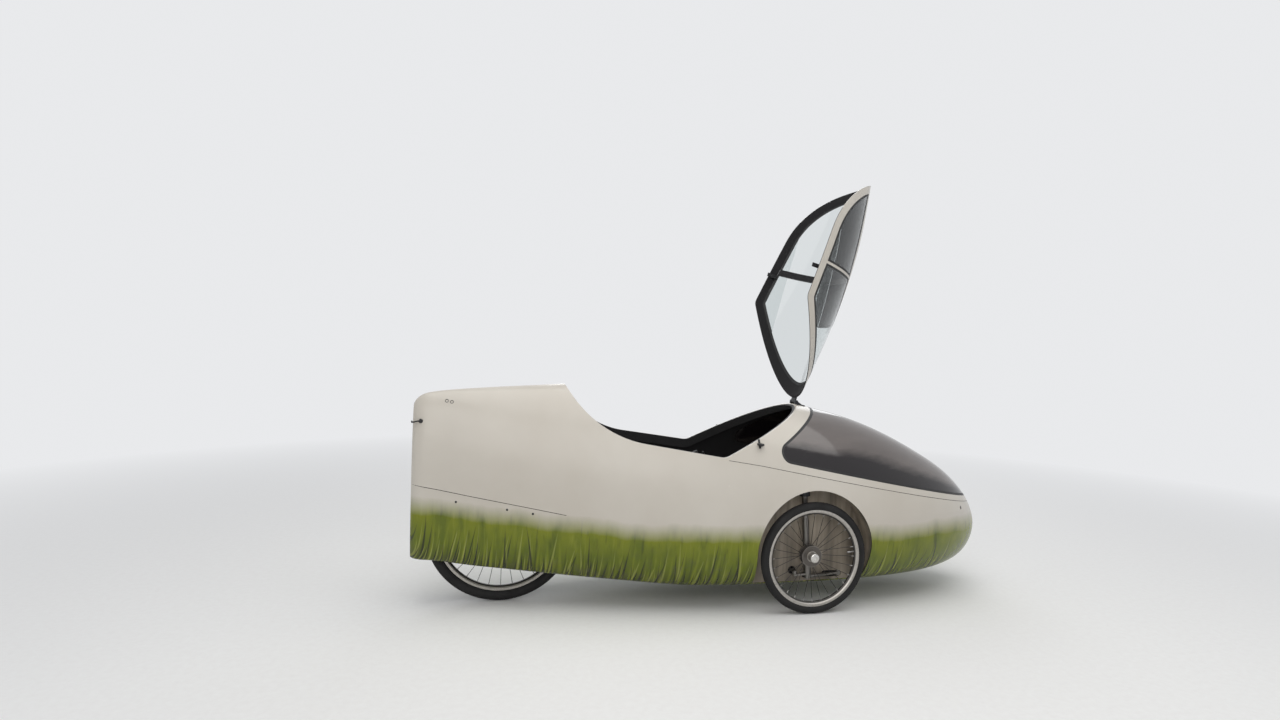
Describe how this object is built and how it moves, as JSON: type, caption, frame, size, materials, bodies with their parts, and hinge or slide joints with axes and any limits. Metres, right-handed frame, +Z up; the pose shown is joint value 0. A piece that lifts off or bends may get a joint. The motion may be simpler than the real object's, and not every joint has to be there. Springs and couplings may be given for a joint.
{
  "type": "velomobile",
  "caption": "Faired recumbent tricycle with a streamlined white body, spoked wheels, a wrap-around front window and a glazed canopy that stands open.",
  "frame": {"origin": "on the ground, under the middle of the body's length and width", "axes": "+X forward, towards the nose; +Y to the rider's left; +Z up"},
  "size_m": [2.74, 0.7634, 1.9464],
  "materials": {
    "body_white": "white gelcoat on glass fibre with a green band",
    "tinted_glass": "dark tinted window",
    "clear_glass": "clear canopy panes",
    "black_seal": "black seal",
    "black_lining": "black inner skin",
    "black_fitting": "black moulded fittings",
    "dark_metal": "black painted metal",
    "house_grey": "bare grey laminate",
    "strut_alloy": "brushed alloy",
    "rim_alloy": "polished rims, spokes and hubs",
    "tyre_black": "black tyre rubber",
    "drive_steel": "bare steel",
    "tube_plastic": "dark plastic pipe",
    "seat_laminate": "dark laminate",
    "pad_fabric": "black mesh fabric",
    "grip_rubber": "ribbed rubber",
    "lamp_amber": "amber lens",
    "lamp_red": "dark red lens"
  },
  "bodies": {
    "hull": {"lower_hull": "body_white", "upper_hull": "body_white", "front_window": "tinted_glass", "window_seal": "black_seal", "cockpit_lining": "black_lining", "hinge_bracket": "dark_metal", "wheel_houses": "house_grey", "strut_bushes": "dark_metal", "lower_arms": "strut_alloy", "steering_base": "dark_metal", "cross_beam": "strut_alloy", "boom": "strut_alloy", "bulkhead": "house_grey", "rear_fork": "dark_metal", "rear_shock": "drive_steel", "chain": "drive_steel", "chain_tubes": "tube_plastic", "seat_shell": "seat_laminate", "seat_pad": "pad_fabric", "seat_mounts": "strut_alloy", "headrest": "black_fitting", "mirror_brackets": "black_fitting", "indicators": "lamp_amber", "tail_lamp": "lamp_red"},
    "canopy": {"canopy_frame": "body_white", "canopy_seal": "black_seal", "canopy_glass": "clear_glass", "roof_liner": "black_lining", "canopy_hoop": "black_lining", "canopy_hinge": "dark_metal", "canopy_catches": "black_fitting"},
    "knuckle_left": {"knuckle_left": "strut_alloy"},
    "knuckle_right": {"knuckle_right": "strut_alloy"},
    "tie_rod": {"tie_rod": "strut_alloy"},
    "tiller": {"tiller": "strut_alloy", "tiller_grips": "grip_rubber"},
    "front_left_wheel": {"front_left_wheel": "rim_alloy", "front_left_tyre": "tyre_black"},
    "front_right_wheel": {"front_right_wheel": "rim_alloy", "front_right_tyre": "tyre_black"},
    "rear_wheel": {"rear_wheel": "rim_alloy", "rear_tyre": "tyre_black"},
    "crankset": {"crankset": "drive_steel"},
    "pedal_left": {"pedal_left": "black_fitting"},
    "pedal_right": {"pedal_right": "black_fitting"}
  },
  "joints": [
    {"name": "canopy_hinge", "type": "hinge", "parent": "hull", "child": "canopy", "pos_m": [0.384, 0, 0.897], "axis": [0, -1, 0], "range_deg": [0, 105]},
    {"name": "steer_left", "type": "hinge", "parent": "hull", "child": "knuckle_left", "pos_m": [0.34, 0.28, 0.243], "axis": [-0.0698, 0, 0.9976], "range_deg": [-15, 15]},
    {"name": "steer_right", "type": "hinge", "parent": "hull", "child": "knuckle_right", "pos_m": [0.34, -0.28, 0.243], "axis": [-0.0698, 0, 0.9976], "range_deg": [-15, 15]},
    {"name": "tie_rod_pivot", "type": "hinge", "parent": "knuckle_left", "child": "tie_rod", "pos_m": [0.28566, 0.28, 0.16001], "axis": [-0.0698, 0, 0.9976], "range_deg": [-15, 15]},
    {"name": "tiller_pivot", "type": "hinge", "parent": "hull", "child": "tiller", "pos_m": [0.2258, 0, 0.15582], "axis": [-0.0698, 0, 0.9976], "range_deg": [-14.3, 14.3]},
    {"name": "front_left_spin", "type": "hinge", "parent": "knuckle_left", "child": "front_left_wheel", "pos_m": [0.34, 0.35, 0.243], "axis": [0, 1, 0], "continuous": true},
    {"name": "front_right_spin", "type": "hinge", "parent": "knuckle_right", "child": "front_right_wheel", "pos_m": [0.34, -0.35, 0.243], "axis": [0, 1, 0], "continuous": true},
    {"name": "rear_spin", "type": "hinge", "parent": "hull", "child": "rear_wheel", "pos_m": [-0.985, 0, 0.33], "axis": [0, 1, 0], "continuous": true},
    {"name": "crank_spin", "type": "hinge", "parent": "hull", "child": "crankset", "pos_m": [0.79, 0, 0.385], "axis": [0, 1, 0], "continuous": true},
    {"name": "pedal_left_spin", "type": "hinge", "parent": "crankset", "child": "pedal_left", "pos_m": [0.63, 0.1, 0.385], "axis": [0, 1, 0], "continuous": true},
    {"name": "pedal_right_spin", "type": "hinge", "parent": "crankset", "child": "pedal_right", "pos_m": [0.95, -0.1, 0.385], "axis": [0, 1, 0], "continuous": true}
  ],
  "couplings": [
    {"joint": "steer_right", "follows": "steer_left", "ratio": 1},
    {"joint": "tie_rod_pivot", "follows": "steer_left", "ratio": -1},
    {"joint": "tiller_pivot", "follows": "steer_left", "ratio": -0.95}
  ]
}
